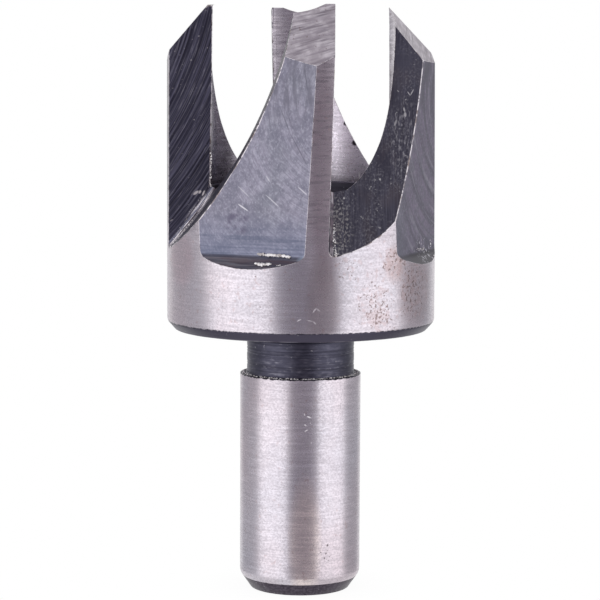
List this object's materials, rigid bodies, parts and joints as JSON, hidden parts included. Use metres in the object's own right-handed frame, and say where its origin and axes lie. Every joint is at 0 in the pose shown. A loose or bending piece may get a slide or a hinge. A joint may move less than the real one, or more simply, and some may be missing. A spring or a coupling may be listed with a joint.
{
  "type": "plug cutter",
  "caption": "Hollow toothed cutter with a straight round shank and open gullets, for cutting round wooden plugs in a drill press.",
  "frame": {"origin": "centre of the shank's end face, which is the lowest point of the tool", "axes": "+Z runs along the tool's axis from the shank to the teeth; +X and +Y run out through two neighbouring teeth"},
  "size_m": [0.022, 0.022, 0.0482],
  "materials": {
    "tool_steel": "ground bright on the shank, head and bore; black from heat treatment in the gullets, neck and edge bevels"
  },
  "bodies": {
    "root": {"plug_cutter": "tool_steel"}
  },
  "joints": []
}
